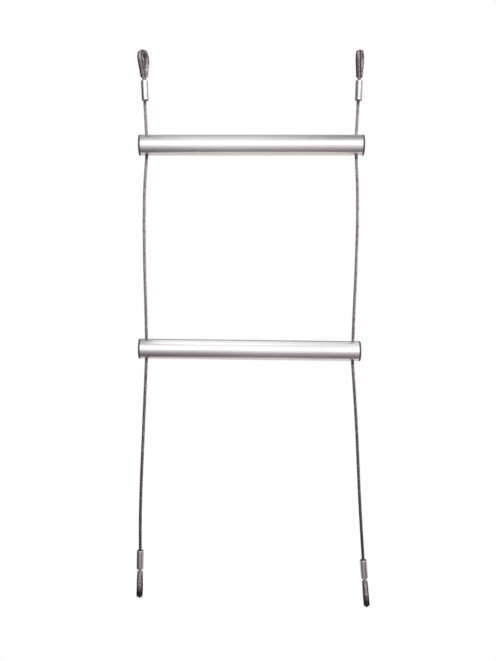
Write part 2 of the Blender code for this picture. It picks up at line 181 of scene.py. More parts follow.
# Where a rope enters a rung, its place in the rung's middle, and where it leaves.
def through(end, side):
    across = sides[side] * holeSpacing / 2
    return [rungPlace(end) @ Vector((across, 0, height)) for height in (exitHeight, 0, -exitHeight)]


def ropeMouth(end, side):
    sign = sides[side]
    if end == "upper":
        return Vector((sign * (holeSpacing / 2 + hanging["eyeSpread"]), 0, -mouthDrop))
    spread, drop = hanging["tailSpread"][side], hanging["tailDrop"][side]
    return through("lower", side)[2] + Vector((sign * spread, 0, -drop))


def eyePlace(end, side):
    name = end + side.capitalize()
    lean = math.radians(hanging["eyeLean"][name]) * sides[side]
    turn = Matrix.Rotation(-math.radians(hanging["eyeTurn"][name]), 4, "Z")
    inLine = Matrix.Rotation(math.atan2(eye["legOffset"], mouthDrop), 4, "X")
    tilt = lean if end == "upper" else math.pi - lean
    return Matrix.Translation(ropeMouth(end, side)) @ Matrix.Rotation(tilt, 4, "Y") @ turn @ inLine


# Points on an arc in a plane, with angles from the first direction.
def arc(centre, radius, start, end, count):
    angles = [start + (end - start) * i / count for i in range(count + 1)]
    return [(centre[0] + radius * math.cos(a), centre[1] + radius * math.sin(a)) for a in angles]


def mirrored(points):
    return [(-across, along) for across, along in reversed(points)]


# Shader sockets that take part in sums, and the finishes made from them.
class Signal:
    def __init__(self, finish, socket):
        self.finish = finish
        self.socket = socket

    def calculate(self, operation, *values):
        return self.finish.node("ShaderNodeMath", {"operation": operation}, dict(enumerate(values)))

    def __add__(self, other):
        return self.calculate("ADD", self, other)

    def __radd__(self, other):
        return self.calculate("ADD", other, self)

    def __sub__(self, other):
        return self.calculate("SUBTRACT", self, other)

    def __rsub__(self, other):
        return self.calculate("SUBTRACT", other, self)

    def __mul__(self, other):
        return self.calculate("MULTIPLY", self, other)

    def __rmul__(self, other):
        return self.calculate("MULTIPLY", other, self)

    def __pow__(self, other):
        return self.calculate("POWER", self, other)

    def atLeast(self, other):
        return self.calculate("MAXIMUM", self, other)

    def atMost(self, other):
        return self.calculate("MINIMUM", self, other)

    def size(self):
        return self.calculate("ABSOLUTE", self)


class Finish:
    def __init__(self, owner, shader="Principled BSDF"):
        owner.use_nodes = True
        self.owner = owner
        self.tree = owner.node_tree
        self.shader = self.tree.nodes.get(shader)

    def node(self, kind, settings=None, values=None, output=0):
        made = self.tree.nodes.new(kind)
        for name, value in (settings or {}).items():
            setattr(made, name, value)
        for name, value in (values or {}).items():
            self.feed(made.inputs[name], value)
        return Signal(self, made.outputs[output])

    def feed(self, socket, value):
        if isinstance(value, Signal):
            self.tree.links.new(value.socket, socket)
        else:
            socket.default_value = value

    def set(self, **values):
        for name, value in values.items():
            self.feed(self.shader.inputs[name.replace("_", " ")], value)

    # A point's place in its object, or with output 0 a direction in the world.
    def place(self, output=3):
        return self.node("ShaderNodeTexCoord", output=output)

    def attribute(self, name):
        return self.node("ShaderNodeAttribute", {"attribute_name": name}, output=2)

    # Whether a ray comes from the camera, and whether it is a mirrored one.
    def rays(self):
        camera = self.node("ShaderNodeLightPath")
        return camera, Signal(self, camera.socket.node.outputs["Is Glossy Ray"])

    def parts(self, vector):
        split = self.node("ShaderNodeSeparateXYZ", None, {"Vector": vector}).socket.node
        return [Signal(self, socket) for socket in split.outputs]

    # Noise of one scale, or of a scale along each axis.
    def noise(self, place, scale, detail, roughness=0.55):
        if isinstance(scale, tuple):
            place = self.node("ShaderNodeMapping", None, {"Vector": place, "Scale": scale})
            scale = 1.0
        values = {"Vector": place, "Scale": scale, "Detail": detail, "Roughness": roughness}
        return self.node("ShaderNodeTexNoise", None, values)

    # A noise's swing about its middle.
    def swing(self, noise, amount):
        return (noise - 0.5) * amount

    def ranged(self, value, low, high, toLow=0.0, toHigh=1.0):
        values = {"Value": value, "From Min": low, "From Max": high, "To Min": toLow, "To Max": toHigh}
        return self.node("ShaderNodeMapRange", None, values)

    # The sum of signals, each times its share.
    def weighed(self, signals, shares):
        total = signals[0] * shares[0]
        for signal, share in zip(signals[1:], shares[1:]):
            total = total + signal * share
        return total

    def spread(self, signals, shares, ends, low=0.0, high=1.0):
        return self.ranged(self.weighed(signals, shares), *ends, low, high)

    def mixed(self, factor, first, second):
        settings = {"data_type": "RGBA"}
        return self.node("ShaderNodeMix", settings, {0: factor, 6: first, 7: second}, output=2)

    def bumped(self, height, distance, strength):
        values = {"Height": height, "Distance": distance, "Strength": strength}
        return self.node("ShaderNodeBump", None, values)


def newFinish(name):
    return Finish(bpy.data.materials.new(name))


def colour(red, green, blue):
    return (red, green, blue, 1.0)


# The finishes. A noise is given as its scale, detail and roughness. What the noises make, such as the
# tone between two colours, is given as their shares and the range of the sum that is spread over it.
# Drawn tube: satin, with fine lines along it and soft handling marks.
drawnTube = {
    "pale": colour(0.86, 0.85, 0.87),
    "dull": colour(0.72, 0.71, 0.74),
    "lines": ((6.0, 700.0, 700.0), 4.0),
    "broad": ((9.0, 60.0, 60.0), 2.0),
    "scuffs": ((160.0, 420.0, 420.0), 5.0, 0.7),
    "scuffed": (0.60, 0.74),
    "tone": ((0.65, 0.35), (0.36, 0.64)),
    "roughness": (0.17, 0.30),
    "rough": ((0.5, 0.5), (0.35, 0.65)),
    "scuffRoughness": 0.12,
    "scuffHeight": 0.3,
    "depth": 0.00004,
    "strength": 0.6,
}


def makeDrawnTube():
    finish = newFinish("drawnTube")
    look = drawnTube
    place = finish.place()
    lines = finish.noise(place, *look["lines"])
    broad = finish.noise(place, *look["broad"])
    worn = finish.ranged(finish.noise(place, *look["scuffs"]), *look["scuffed"])
    tone = finish.spread([lines, broad], *look["tone"])
    low, high = look["roughness"]
    rough = finish.spread([broad, lines], *look["rough"], high, low) + worn * look["scuffRoughness"]
    height = lines + worn * look["scuffHeight"]
    finish.set(
        Base_Color=finish.mixed(tone, look["dull"], look["pale"]),
        Roughness=rough,
        Metallic=1.0,
        Normal=finish.bumped(height, look["depth"], look["strength"]),
    )
    return finish.owner


# Pressed ferrule: duller than the tube, rubbed along its length where the dies closed, with painted
# shade round the rope at its two ends. The same dark tint darkens the pits.
pressedFerrule = {
    "pale": colour(0.80, 0.765, 0.78),
    "dark": colour(0.62, 0.585, 0.605),
    "pitAndMouthShade": colour(0.12, 0.105, 0.11),
    "rubs": ((420.0, 420.0, 36.0), 5.0, 0.6),
    "cloud": (160.0, 4.0),
    "pits": (1500.0, 2.0),
    "pitted": (0.66, 0.78),
    "pitTone": 0.4,
    "tone": ((0.5, 0.5), (0.30, 0.64)),
    "mouthShadeSwing": 0.5,
    "mouthShaded": (0.25, 1.0),
    "roughness": (0.15, 0.24),
    "rough": (0.35, 0.65),
    "pitRoughness": 0.1,
    "mouthShadeRoughness": 0.3,
    "heightShares": (0.7, 0.3, -0.3),
    "depth": 0.000025,
    "strength": 0.5,
}


def makePressedFerrule():
    finish = newFinish("pressedFerrule")
    look = pressedFerrule
    place = finish.place()
    rubs = finish.noise(place, *look["rubs"])
    cloud = finish.noise(place, *look["cloud"])
    pits = finish.ranged(finish.noise(place, *look["pits"]), *look["pitted"])
    tone = finish.spread([rubs, cloud], *look["tone"])
    metal = finish.mixed(tone, look["dark"], look["pale"])
    # Painted shade at the ferrule's two ends, set by the mouth attribute; the pits share its dark tint.
    mouth = finish.attribute("mouth") + finish.swing(cloud, look["mouthShadeSwing"])
    pitAndMouthShade = finish.ranged(mouth, *look["mouthShaded"])
    dark = (pits * look["pitTone"]).atLeast(pitAndMouthShade)
    rough = finish.ranged(cloud, *look["rough"], *look["roughness"])
    rough = rough + pits * look["pitRoughness"] + pitAndMouthShade * look["mouthShadeRoughness"]
    height = finish.weighed([rubs, cloud, pits], look["heightShares"])
    finish.set(
        Base_Color=finish.mixed(dark, metal, look["pitAndMouthShade"]),
        Roughness=rough,
        Metallic=1.0,
        Normal=finish.bumped(height, look["depth"], look["strength"]),
    )
    return finish.owner


# Galvanised strip: mottled zinc with brighter rubbed patches, and painted shade, darker towards the
# bottom, where the attribute says.
zincStrip = {
    "bright": colour(0.39, 0.335, 0.347),
    "dull": colour(0.205, 0.170, 0.177),
    "underShade": colour(0.040, 0.034, 0.034),
    "warp": (320.0, 3.0),
    "spangleScale": 520.0,
    "grain": (1900.0, 4.0, 0.65),
    "tone": ((0.35, 0.45, 0.2), (0.28, 0.66)),
    "underShadeWarp": (1.25, 0.5),
    "shaded": (0.1, 0.95),
    "underShadeDulls": 0.5,
    "roughness": (0.44, 0.64),
    "heightShares": (0.5, 0.5),
    "depth": 0.00007,
    "strength": 0.8,
}


def makeZincStrip():
    finish = newFinish("zincStrip")
    look = zincStrip
    place = finish.place()
    warp = finish.noise(place, *look["warp"])
    cell = {"Vector": place, "Scale": look["spangleScale"]}
    cells = finish.node("ShaderNodeTexVoronoi", {"feature": "SMOOTH_F1"}, cell, 1)
    spangle = finish.node("ShaderNodeSeparateColor", None, {"Color": cells})
    grain = finish.noise(place, *look["grain"])
    tone = finish.spread([spangle, warp, grain], *look["tone"])
    most, less = look["underShadeWarp"]
    shaded = finish.ranged(finish.attribute("underShade") * (most - warp * less), *look["shaded"])
    low, high = look["roughness"]
    metal = finish.mixed(tone, look["dull"], look["bright"])
    height = finish.weighed([warp, grain], look["heightShares"])
    finish.set(
        Base_Color=finish.mixed(shaded, metal, look["underShade"]),
        Roughness=finish.ranged(tone, 0.0, 1.0, high, low),
        Metallic=1 - shaded * look["underShadeDulls"],
        Normal=finish.bumped(height, look["depth"], look["strength"]),
    )
    return finish.owner


# Rope wire: bright zinc with a painted highlight on the crests, and dark oil with painted shade
# between the strands.
ropeWire = {
    "crest": colour(0.62, 0.56, 0.56),
    "flank": colour(0.262, 0.206, 0.213),
    "valleyShade": colour(0.066, 0.041, 0.045),
    "cloud": (300.0, 3.0),
    "grain": ((2600.0, 2600.0, 700.0), 3.0),
    "crestSwing": 1.8,
    "shown": (0.35, 0.95),
    "valleySwing": 0.3,
    "deep": (0.05, 0.45),
    "roughness": (0.30, 0.55),
    "rough": ((0.7, 0.3), (0.1, 0.8)),
    "metallic": (0.6, 1.0),
    "depth": 0.00003,
    "strength": 0.6,
}


def makeRopeWire():
    finish = newFinish("ropeWire")
    look = ropeWire
    place = finish.place()
    crest = finish.attribute("crest")
    cloud = finish.noise(place, *look["cloud"])
    grain = finish.noise(place, *look["grain"])
    shown = finish.ranged(crest + finish.swing(cloud, look["crestSwing"]), *look["shown"])
    metal = finish.mixed(shown, look["flank"], look["crest"])
    # Painted shade in the valleys between the strands.
    deep = finish.ranged(crest + finish.swing(grain, look["valleySwing"]), *look["deep"])
    low, high = look["roughness"]
    finish.set(
        Base_Color=finish.mixed(deep, look["valleyShade"], metal),
        Roughness=finish.spread([shown, grain], *look["rough"], high, low),
        Metallic=finish.ranged(deep, 0.0, 1.0, *look["metallic"]),
        Normal=finish.bumped(grain, look["depth"], look["strength"]),
    )
    return finish.owner


# Moulded end plug: dark grey plastic with a fine eroded grain.
mouldedPlug = {
    "dark": colour(0.105, 0.102, 0.108),
    "grey": colour(0.180, 0.176, 0.184),
    "grain": (3200.0, 3.0, 0.6),
    "cloud": (180.0, 3.0),
    "tone": ((0.6, 0.4), (0.35, 0.65)),
    "roughness": (0.55, 0.72),
    "rough": (0.3, 0.7),
    "shine": 0.25,
    "depth": 0.00006,
    "strength": 0.7,
}


def makeMouldedPlug():
    finish = newFinish("mouldedPlug")
    look = mouldedPlug
    place = finish.place()
    grain = finish.noise(place, *look["grain"])
    cloud = finish.noise(place, *look["cloud"])
    tone = finish.spread([cloud, grain], *look["tone"])
    finish.set(
        Base_Color=finish.mixed(tone, look["dark"], look["grey"]),
        Roughness=finish.ranged(cloud, *look["rough"], *look["roughness"]),
        Metallic=0.0,
        Specular_IOR_Level=look["shine"],
        Normal=finish.bumped(grain, look["depth"], look["strength"]),
    )
    return finish.owner


finishes = {
    "rung_aluminium": makeDrawnTube(),
    "ferrule_aluminium": makePressedFerrule(),
    "thimble_zinc": makeZincStrip(),
    "rope_steel": makeRopeWire(),
    "plug_plastic": makeMouldedPlug(),
}
print("finishes made")


# How near points are merged, or count as on a plane, in metres, and how squarely a face looks along
# an axis.
mergeDistance = 0.000002
onPlane = 0.00001
squarely = 0.9


def dress(piece, slot):
    piece.data.materials.clear()
    piece.data.materials.append(finishes[slot])


# What every modelled piece gets at the end: its finish, slot, body and the nodes it stands for.
def finishPiece(piece, name, slot, body, nodes):
    piece.name = name
    piece.data.name = name
    dress(piece, slot)
    if body:
        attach(piece, body)
    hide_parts(*nodes)


def objectMode():
    bpy.ops.object.mode_set(mode="OBJECT")


def editMode(elements):
    bpy.ops.object.mode_set(mode="EDIT")
    bpy.ops.mesh.select_mode(type=elements)


def applyTransform():
    bpy.ops.object.transform_apply(location=True, rotation=True, scale=True)


def activate(piece):
    bpy.ops.object.select_all(action="DESELECT")
    piece.select_set(True)
    bpy.context.view_layer.objects.active = piece


def copyOf(piece, place):
    copy = linked(piece.copy())
    copy.data = piece.data.copy()
    activate(copy)
    copy.matrix_world = place @ copy.matrix_world
    applyTransform()
    return copy


def removePiece(piece):
    bpy.data.objects.remove(piece, do_unlink=True)


def deselect(piece):
    objectMode()
    for elements in (piece.data.polygons, piece.data.edges, piece.data.vertices):
        elements.foreach_set("select", [False] * len(elements))


# Selects the faces that a test on centre and normal picks, in edit mode.
def selectFaces(piece, test):
    deselect(piece)
    for face in piece.data.polygons:
        face.select = test(face.center, face.normal)
    editMode("FACE")


# Selects the edges whose two ends both pass a test.
def selectEdges(piece, test):
    deselect(piece)
    points = piece.data.vertices
    for edge in piece.data.edges:
        edge.select = all(test(points[i].co) for i in edge.vertices)
        if edge.select:
            for i in edge.vertices:
                points[i].select = True
    editMode("EDGE")


def selectAll():
    bpy.ops.object.mode_set(mode="EDIT")
    bpy.ops.mesh.select_all(action="SELECT")


def extrude(*offset):
    bpy.ops.mesh.extrude_region_move(TRANSFORM_OT_translate={"value": offset})


# Adds a ring of edges to the active piece where a plane crosses it.
def ringAcross(point, normal):
    selectAll()
    bpy.ops.mesh.bisect(plane_co=point, plane_no=normal)
    objectMode()


def smooth(degrees):
    bpy.ops.object.shade_smooth_by_angle(angle=math.radians(degrees))


def store(piece, name, values):
    values = np.array(values, np.float32)
    piece.data.attributes.new(name, "FLOAT", "POINT").data.foreach_set("value", values)


def cutWith(piece, cutter):
    activate(piece)
    cut = piece.modifiers.new("cut", "BOOLEAN")
    cut.operation = "DIFFERENCE"
    cut.solver = "EXACT"
    cut.object = cutter
    bpy.ops.object.modifier_apply(modifier="cut")
    removePiece(cutter)


def mergePoints(piece):
    activate(piece)
    selectAll()
    bpy.ops.mesh.remove_doubles(threshold=mergeDistance)
    objectMode()


# Rungs. A rung is modelled about the origin, along X. Rings of edges beside a hole, so far from its
# middle, keep the hole's own triangles short.
tubeShape = {"ringsByHole": (-0.008, -0.005, 0.005), "smoothing": 30}
holeShape = {"sides": 48, "flareSteps": 5, "beyond": 0.001}


# A rope hole's cutter: a straight bore with a rounded flare at each end.
def holeCutter(across):
    flare = rung["flareRadius"] - rung["holeRadius"]
    bpy.ops.mesh.primitive_cylinder_add(
        vertices=holeShape["sides"], radius=rung["holeRadius"], depth=2 * (rung["radius"] - flare),
        location=(across, 0, 0),
    )
    cutter = bpy.context.object
    for sign in (1, -1):
        selectFaces(cutter, lambda centre, normal: normal.z * sign > squarely)
        radius = rung["holeRadius"]
        for widened, _ in arc((flare, 0), flare, math.pi, math.pi / 2, holeShape["flareSteps"])[1:]:
            grown = rung["holeRadius"] + widened
            extrude(0, 0, sign * flare / holeShape["flareSteps"])
            bpy.ops.transform.resize(value=(grown / radius, grown / radius, 1))
            radius = grown
        extrude(0, 0, sign * holeShape["beyond"])
        objectMode()
    return cutter


def makeTube():
    bpy.ops.mesh.primitive_cylinder_add(
        vertices=rung["sides"], radius=rung["radius"], depth=tubeLength,
        end_fill_type="NOTHING", rotation=(0, math.pi / 2, 0),
    )
    tube = bpy.context.object
    applyTransform()
    for sign in (1, -1):
        for margin in tubeShape["ringsByHole"]:
            ringAcross((sign * (holeSpacing / 2 + margin), 0, 0), (1, 0, 0))
    wall = tube.modifiers.new("wall", "SOLIDIFY")
    wall.thickness = rung["wall"]
    wall.offset = -1
    wall.use_even_offset = True
    bpy.ops.object.modifier_apply(modifier="wall")
    for sign in (1, -1):
        cutWith(tube, holeCutter(sign * holeSpacing / 2))
    mergePoints(tube)
    smooth(tubeShape["smoothing"])
    return tube


# A plug is modelled with its head's back on the origin and its dome towards +Z. Each ring of the dome
# is a share of the one before, and the spigot's end narrows by the lead.
plugShape = {
    "domeRings": (0.985, 0.93, 0.8, 0.6, 0.35, 0.1),
    "lead": 0.0005,
    "edge": 0.00025,
    "edgeSteps": 4,
    "smoothing": 35,
}


def makePlug():
    radius, height, lead = rung["radius"], rung["plugRim"], plugShape["lead"]
    bpy.ops.mesh.primitive_cylinder_add(
        vertices=rung["sides"], radius=radius, depth=height, location=(0, 0, height / 2)
    )
    plug = bpy.context.object
    applyTransform()
    selectFaces(plug, lambda centre, normal: normal.z > squarely)
    domeRadius = (radius ** 2 + rung["plugDome"] ** 2) / (2 * rung["plugDome"])
    for share in plugShape["domeRings"]:
        across = radius * share
        risen = plugHead - domeRadius + math.sqrt(domeRadius ** 2 - across ** 2)
        bpy.ops.mesh.inset(thickness=radius - across, depth=0)
        bpy.ops.transform.translate(value=(0, 0, risen - height))
        radius, height = across, risen
    spigot = rung["radius"] - rung["wall"] - rung["gap"]
    selectFaces(plug, lambda centre, normal: normal.z < -squarely)
    bpy.ops.mesh.inset(thickness=rung["radius"] - spigot, depth=0)
    extrude(0, 0, lead - rung["spigotDepth"])
    extrude(0, 0, -lead)
    narrowed = (spigot - lead) / spigot
    bpy.ops.transform.resize(value=(narrowed, narrowed, 1))
    bpy.ops.mesh.inset(thickness=rung["plugWall"] - lead, depth=0)
    extrude(0, 0, rung["spigotDepth"] + plugHead - rung["plugWall"])
    wide, high = rung["radius"] - onPlane, rung["plugRim"] - onPlane
    selectEdges(plug, lambda point: point.xy.length > wide and point.z > high)
    bpy.ops.mesh.bevel(offset=plugShape["edge"], segments=plugShape["edgeSteps"], affect="EDGES")
    objectMode()
    mergePoints(plug)
    smooth(plugShape["smoothing"])
    return plug


tubeModel = makeTube()
plugModel = makePlug()
for end in ("upper", "lower"):
    place = rungPlace(end)
    tube = copyOf(tubeModel, place)
    finishPiece(tube, f"{end}RungTube", "rung_aluminium", f"{end}_rung", [f"{end}_rung_tube"])
    for side, sign in sides.items():
        outwards = Matrix.Translation((sign * (tubeLength / 2 + rung["gap"]), 0, 0))
        plug = copyOf(plugModel, place @ outwards @ Matrix.Rotation(sign * math.pi / 2, 4, "Y"))
        node = f"{end}_rung_{side}_plug"
        finishPiece(plug, f"{end}{side.capitalize()}Plug", "plug_plastic", f"{end}_rung", [node])
        dress(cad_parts[f"{end}_rung_{side}_stop"], "ferrule_aluminium")
removePiece(tubeModel)
removePiece(plugModel)
print("rungs made")


# Eyes.
eyeBody = {
    "upperLeft": "top_eyes",
    "upperRight": "top_eyes",
    "lowerLeft": "lower_left_eye",
    "lowerRight": "lower_right_eye",
}


# The ferrule stands on its mouth, about Z, with a thin flash line on each side.
ferruleShape = {"sides": 64, "edgeSteps": 6, "smoothing": 32}
flash = {"height": 0.00014, "narrowed": 0.45, "shortened": 0.99, "ends": 0.0016, "facing": 0.9999}


def makeFerrule():
    length, sides = eye["ferruleLength"], ferruleShape["sides"]
    bpy.ops.mesh.primitive_cylinder_add(
        vertices=sides, radius=eye["ferruleRadius"], depth=length,
        location=(0, 0, length / 2), rotation=(0, 0, math.pi / sides),
    )
    ferrule = bpy.context.object
    applyTransform()
    for end in (0.0, length):
        selectEdges(ferrule, lambda point: abs(point.z - end) < onPlane)
        bpy.ops.mesh.bevel(offset=eye["ferruleEdge"], segments=ferruleShape["edgeSteps"], affect="EDGES")
        objectMode()
    for height in (flash["ends"], length - flash["ends"]):
        ringAcross((0, 0, height), (0, 0, 1))
    for sign in (1, -1):
        def onSide(centre, normal):
            return normal.x * sign > flash["facing"] and abs(centre.z - length / 2) < flash["ends"]

        selectFaces(ferrule, onSide)
        extrude(sign * flash["height"], 0, 0)
        bpy.ops.transform.resize(value=(1, flash["narrowed"], flash["shortened"]))
        objectMode()
    # How near each point lies to an end of the ferrule, where the finish paints shade.
    heights = [min(point.co.z, length - point.co.z) for point in ferrule.data.vertices]
    store(ferrule, "mouth", [max(0.0, 1 - height / eye["ferruleEdge"]) for height in heights])
    smooth(ferruleShape["smoothing"])
    return ferrule


# A thimble lies in the XY plane: X across the eye, Y along it. Its back turns so many degrees before
# the cheek begins, and its tips are cut clear of the rope's legs.
thimbleShape = {
    "backTurn": 50,
    "backSteps": 5,
    "lipSteps": 6,
    "grooveSteps": 10,
    "crownSteps": 20,
    "legClearance": 0.0002,
    "legBelow": 0.001,
    "legResolution": 8,
    "smoothing": 38,
}


# The channel's section: (outwards from the bearing surface, across the eye's plane).
def channelSection():
    turned = math.radians(thimbleShape["backTurn"]) - math.pi / 2
    back = arc((0, grooveHeight), grooveHeight, -math.pi / 2, turned, thimbleShape["backSteps"])
    lipRadius = eye["lip"] / 2
    lipCentre = (eye["halfWidth"] - lipRadius, eye["flange"] - lipRadius)
    lip = arc(lipCentre, lipRadius, 0, math.pi, thimbleShape["lipSteps"])
    groove = arc((0, grooveHeight), grooveRadius, 0, -math.pi / 2, thimbleShape["grooveSteps"])
    half = [*back, (eye["halfWidth"], eye["flange"] - eye["cheek"]), *lip, *groove]
    return [(height, across) for across, height in half + mirrored(half[1:-1])]


def bearingRoute():
    crown = arc((0, crownCentre), eye["bearingRadius"], -legSlope, math.pi / 2, thimbleShape["crownSteps"])
    beside = eye["tipGap"] / 2
    meeting = (beside, crown[0][1] - (crown[0][0] - beside) / math.tan(legSlope))
    half = [(beside, ferruleEnd + eye["tipRise"]), meeting, *crown]
    return half + mirrored(half[:-1])


# The rope's loop: steps of its two arcs, how far its cut end overlaps the rope's in the ferrule, and
# how often its corners are eased.
loopShape = {"bendSteps": 6, "crownSteps": 14, "overlap": 0.002, "easing": 3}


# The rope's centreline round the eye: (across, along) from the ferrule's axis and mouth.
def loopRoute():
    bend = arc(
        (bendAcross, ferruleEnd), eye["legBend"], math.pi, math.pi - legSlope, loopShape["bendSteps"]
    )
    crown = arc((0, crownCentre), loopRadius, -legSlope, math.pi / 2, loopShape["crownSteps"])
    half = [(eye["legOffset"], pivotOffset), *bend, *crown]
    return half + mirrored(half[:-1])


def flatCurve(name, points, closed):
    curve = bpy.data.curves.new(name, "CURVE")
    curve.dimensions = "2D"
    curve.fill_mode = "NONE"
    spline = curve.splines.new("POLY")
    spline.points.add(len(points) - 1)
    for point, (across, along) in zip(spline.points, points):
        point.co = (across, along, 0, 1)
    spline.use_cyclic_u = closed
    return linked(bpy.data.objects.new(name, curve))


def meshOf(curve):
    activate(curve)
    bpy.ops.object.convert(target="MESH")
    mergePoints(bpy.context.object)
    return bpy.context.object


def makeThimble():
    section = flatCurve("section", channelSection(), True)
    channel = flatCurve("channel", bearingRoute(), False)
    channel.data.bevel_mode = "OBJECT"
    channel.data.bevel_object = section
    channel.data.use_fill_caps = True
    channel = meshOf(channel)
    removePiece(section)
    selectAll()
    bpy.ops.mesh.normals_make_consistent(inside=False)
    objectMode()
    tip = (0.0, ferruleEnd + eye["tipRise"])
    reach = loopRadius + eye["flange"]
    outer = (reach, tip[1] + eye["tipTaper"] * reach / eye["flange"])
    corner = (reach, tip[1] - eye["flange"])
    tips = flatCurve("tips", [corner, outer, tip, *mirrored([corner, outer])], True)
    tips.data.fill_mode = "BOTH"
    tips.data.extrude = 2 * eye["halfWidth"]
    cutWith(channel, meshOf(tips))
    for sign in (1, -1):
        route = [(sign * x, y) for x, y in loopRoute() if x > 0 and y < crownCentre - eye["bearingRadius"]]
        leg = flatCurve("leg", [(route[0][0], ferruleEnd - thimbleShape["legBelow"]), *route[1:]], False)
        leg.data.dimensions = "3D"
        leg.data.fill_mode = "FULL"
        leg.data.bevel_depth = rope["radius"] + thimbleShape["legClearance"]
        leg.data.bevel_resolution = thimbleShape["legResolution"]
        leg.data.use_fill_caps = True
        cutWith(channel, meshOf(leg))
    mergePoints(channel)
    smooth(thimbleShape["smoothing"])
    return channel


eyePlane = Matrix.Translation((0, eye["legOffset"], 0)) @ Matrix(
    ((0, 0, 1, 0), (1, 0, 0, 0), (0, 1, 0, 0), (0, 0, 0, 1))
)
ferruleModel = makeFerrule()
thimbleModel = makeThimble()
eyePieces = {}
for end in ("upper", "lower"):
    for side in sides:
        name = end + side.capitalize()
        node = f"{end}_{side}"
        place = eyePlace(end, side)
        ferrule = copyOf(ferruleModel, place @ Matrix.Translation((0, eye["legOffset"], pivotOffset)))
        thimble = copyOf(thimbleModel, place @ eyePlane)
        finishPiece(ferrule, f"{name}Ferrule", "ferrule_aluminium", eyeBody[name], [f"{node}_ferrule"])
        finishPiece(thimble, f"{name}Thimble", "thimble_zinc", eyeBody[name], [f"{node}_thimble"])
        eyePieces[name] = [ferrule, thimble]
removePiece(ferruleModel)
removePiece(thimbleModel)
print("eyes made")


# Ropes. Even points about a step apart along a line through dense points.
def spaced(points):
    points = np.array(points, float)
    along = distancesOf(points)
    even = np.linspace(0, along[-1], round(along[-1] / rope["step"]) + 1)
    return np.stack([np.interp(even, along, points[:, i]) for i in range(3)], axis=1)


# Dense points on a smooth curve through the knots.
def smoothLine(knots):
    ends = [2 * knots[0] - knots[1], *knots, 2 * knots[-1] - knots[-2]]
    line = [knots[0]]
    for before, start, end, after in zip(ends, ends[1:], ends[2:], ends[3:]):
        for i in range(1, rope["pointsPerKnot"] + 1):
            t = i / rope["pointsPerKnot"]
            straight = 2 * start + (end - before) * t
            square = (2 * before - 5 * start + 4 * end - after) * t ** 2
            cube = (3 * start - before - 3 * end + after) * t ** 3
            line.append((straight + square + cube) / 2)
    return line


# Eases the corners of a line of points, in place.
def ease(points, times):
    for _ in range(times):
        points[1:-1] = (points[:-2] + 2 * points[1:-1] + points[2:]) / 4


# From 0 at the start to 1 a stretch further on.
def rising(values, start, stretch):
    return np.clip((values - start) / stretch, 0, 1)


def bowed(start, end, bow):
    count = len(bow) + 1
    inner = [start.lerp(end, (i + 1) / count) + Vector((aside, 0, 0)) for i, aside in enumerate(bow)]
    return [start, *inner, end]


# The sections of one strand at each ring: points about the strand's own centre, and how far each
# stands out on its wire, from 0 between two wires to 1 on a wire's back. Seven alike fill a circle of
# three times their radius, so a strand has a third of the rope's, and a wire a third of a strand's.
def strandOutline(radius, along):
    perWire = rope["pointsPerWire"]
    count = rope["wires"] * perWire
    angles = 2 * math.pi * np.arange(count) / count
    wireTurn = 2 * math.pi / rope["wires"]
    fromWire = (np.arange(count) % perWire) / perWire * wireTurn - wireTurn / 2
    out = radius * (2 * np.cos(fromWire) + np.sqrt(1 - (2 * np.sin(fromWire)) ** 2)) / 3
    turned = angles[None, :] - 2 * math.pi * along[:, None] / rope["wireLay"]
    return out[None, :] * np.cos(turned), out[None, :] * np.sin(turned), out / radius


# One strand's rings on a straight rope: how far each point lies across and aside, and how bright a
# crest it stands on, as a share of painted highlight that the painted shade takes away. The core
# strand comes last, plain and dark.
def strandRings(strand, along, paintedShade):
    radius = rope["radius"] / 3
    if strand == rope["strands"]:
        angles = 2 * math.pi * np.arange(rope["corePoints"]) / rope["corePoints"]
        everywhere = np.ones((len(along), 1))
        across = radius * np.cos(angles)[None, :] * everywhere
        return across, radius * np.sin(angles)[None, :] * everywhere, np.zeros_like(across)
    out, around, backs = strandOutline(radius, along)
    turn = 2 * math.pi * (strand / rope["strands"] + along / rope["strandLay"])[:, None]
    out = out + 2 * radius
    across = out * np.cos(turn) - around * np.sin(turn)
    aside = out * np.sin(turn) + around * np.cos(turn)
    crest = rising(np.hypot(across, aside) / rope["radius"], *rope["crestReach"])
    return across, aside, crest * rising(backs, *rope["crestBack"])[None, :] * (1 - paintedShade[:, None])


def tangentsOf(line):
    tangents = np.gradient(line, axis=0)
    return tangents / np.linalg.norm(tangents, axis=1)[:, None]


# How far each point of a line lies along it.
def distancesOf(line):
    return np.concatenate([[0], np.cumsum(np.linalg.norm(np.diff(line, axis=0), axis=1))])


# Painted shade where a rope leaves a ferrule or a rung, as a share at each point.
def paintedShadeNear(line, places):
    apart = [np.linalg.norm(line - np.array(place), axis=1) for place in places]
    return rope["paintedShade"] * np.exp(-((np.min(apart, axis=0) / rope["paintedShadeReach"]) ** 2))


